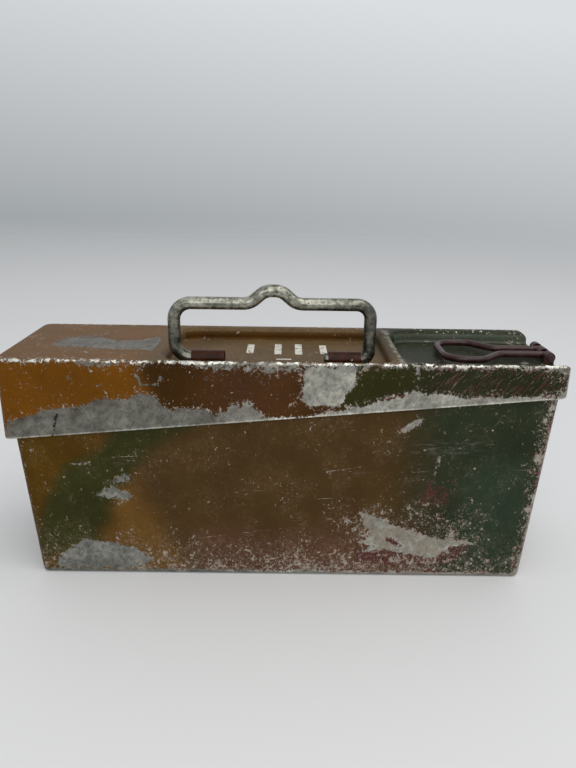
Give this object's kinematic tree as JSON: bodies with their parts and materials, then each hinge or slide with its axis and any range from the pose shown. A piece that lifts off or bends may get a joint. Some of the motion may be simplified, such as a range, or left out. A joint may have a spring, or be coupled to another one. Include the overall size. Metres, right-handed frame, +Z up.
{
  "type": "ammunition belt box",
  "caption": "Narrow tapered sheet-metal box with an end-hinged lid, a fold-down bail handle in a lid recess and a wire ring latch at one end.",
  "frame": {"origin": "middle of the foot, on the surface that the box stands on", "axes": "+X along the box towards the latch end, +Y across it towards the rear, +Z up"},
  "size_m": [0.3522, 0.093, 0.1936],
  "materials": {
    "camouflage_paint": "worn matt three-colour paint over aluminium sheet",
    "primed_steel": "worn satin red-brown primer over steel",
    "bare_steel": "dull worn steel with dark pits",
    "bare_aluminium": "dull oxidised aluminium sheet"
  },
  "bodies": {
    "case": {"body_shell": "camouflage_paint", "bottom_pan": "camouflage_paint", "hinge_doubler": "bare_aluminium", "latch_doubler": "bare_aluminium", "hinge_leaf_case": "primed_steel", "hinge_rivets_case": "bare_steel", "hinge_pin": "bare_steel", "latch_strap": "primed_steel", "latch_strap_rivets": "bare_steel"},
    "lid": {"lid_shell": "camouflage_paint", "hinge_leaf_lid": "primed_steel", "hinge_rivets_lid": "bare_steel", "handle_clip_left": "primed_steel", "handle_clip_right": "primed_steel", "clip_backing_left": "bare_aluminium", "clip_backing_right": "bare_aluminium", "latch_bracket": "primed_steel", "latch_bracket_rivets": "bare_steel"},
    "handle": {"carry_handle": "bare_steel"},
    "latch": {"latch_lever": "primed_steel"}
  },
  "joints": [
    {"name": "lid_hinge", "type": "hinge", "parent": "case", "child": "lid", "pos_m": [-0.172, 0, 0.0943], "axis": [0, -1, 0], "range_deg": [0, 110]},
    {"name": "handle_fold", "type": "hinge", "parent": "lid", "child": "handle", "pos_m": [0, -0.0275, 0.147], "axis": [1, 0, 0], "range_deg": [-90, 55]},
    {"name": "latch_lift", "type": "hinge", "parent": "lid", "child": "latch", "pos_m": [0.1729, 0, 0.146], "axis": [0, 1, 0], "range_deg": [0, 90]}
  ]
}
